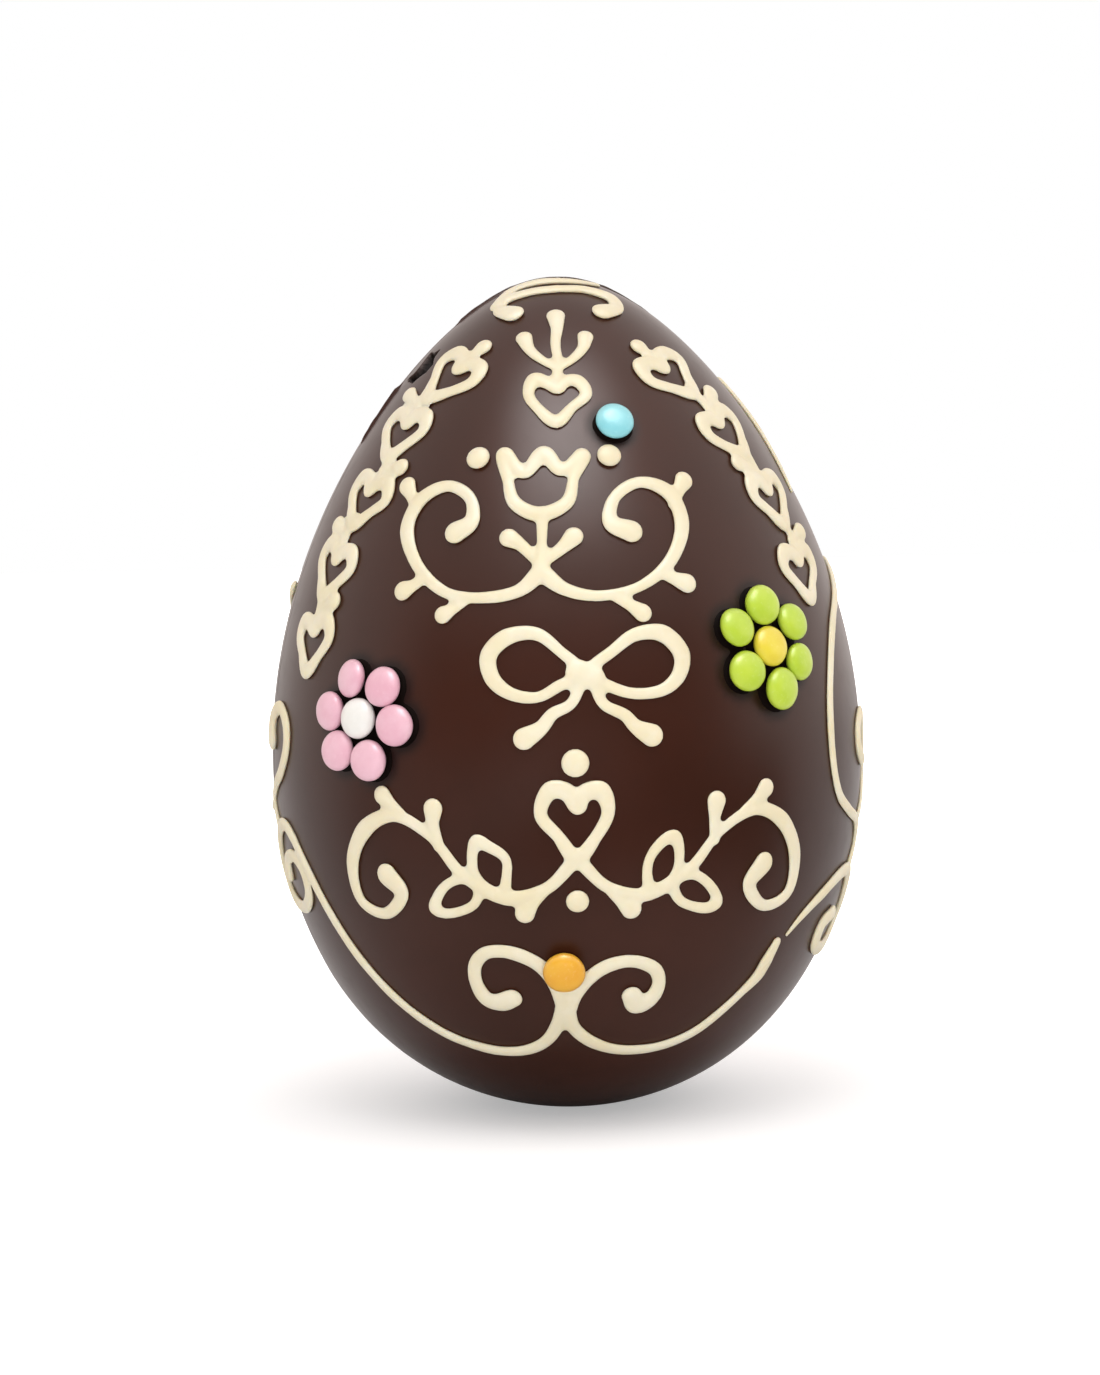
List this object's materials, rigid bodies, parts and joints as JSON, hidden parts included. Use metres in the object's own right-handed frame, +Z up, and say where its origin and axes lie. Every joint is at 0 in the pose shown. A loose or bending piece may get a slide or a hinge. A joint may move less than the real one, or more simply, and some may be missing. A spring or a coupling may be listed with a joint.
{
  "type": "decorated chocolate egg",
  "caption": "Large moulded dark chocolate egg standing on its blunt end, with piped cream icing scrollwork, flowers of sugar-coated sweets and a chipped mould seam.",
  "frame": {"origin": "centre of the flat spot under the blunt end, where the egg stands", "axes": "+Z up along the egg's long axis, -Y towards the decorated front, +X to the right seen from the front"},
  "size_m": [0.203, 0.2055, 0.281],
  "materials": {
    "dark_chocolate": "satin tempered dark chocolate",
    "icing": "soft satin cream icing",
    "sugar_pink": "smooth sugar shell",
    "sugar_white": "smooth sugar shell",
    "sugar_green": "smooth sugar shell",
    "sugar_yellow": "smooth sugar shell",
    "sugar_blue": "smooth sugar shell",
    "sugar_orange": "smooth sugar shell"
  },
  "bodies": {
    "root": {"egg_body": "dark_chocolate", "sweet_white": "sugar_white", "sweet_pink_1": "sugar_pink", "sweet_pink_2": "sugar_pink", "sweet_pink_3": "sugar_pink", "sweet_pink_4": "sugar_pink", "sweet_pink_5": "sugar_pink", "sweet_pink_6": "sugar_pink", "sweet_yellow": "sugar_yellow", "sweet_green_1": "sugar_green", "sweet_green_2": "sugar_green", "sweet_green_3": "sugar_green", "sweet_green_4": "sugar_green", "sweet_green_5": "sugar_green", "sweet_green_6": "sugar_green", "sweet_blue": "sugar_blue", "sweet_orange": "sugar_orange", "sweet_back": "sugar_orange", "icing_scroll_front": "icing", "icing_scroll_right": "icing", "icing_scroll_back": "icing", "icing_tail_right": "icing", "icing_garland_left": "icing", "icing_garland_right": "icing", "icing_bracket_front": "icing", "icing_bracket_back": "icing", "icing_spray": "icing", "icing_crest_front": "icing", "icing_crest_back": "icing", "icing_bow": "icing", "icing_branch": "icing", "icing_dot_1": "icing", "icing_dot_2": "icing", "icing_dot_3": "icing", "icing_dot_4": "icing", "icing_dot_5": "icing", "icing_dot_6": "icing", "icing_dot_7": "icing", "icing_dot_8": "icing"}
  },
  "joints": []
}
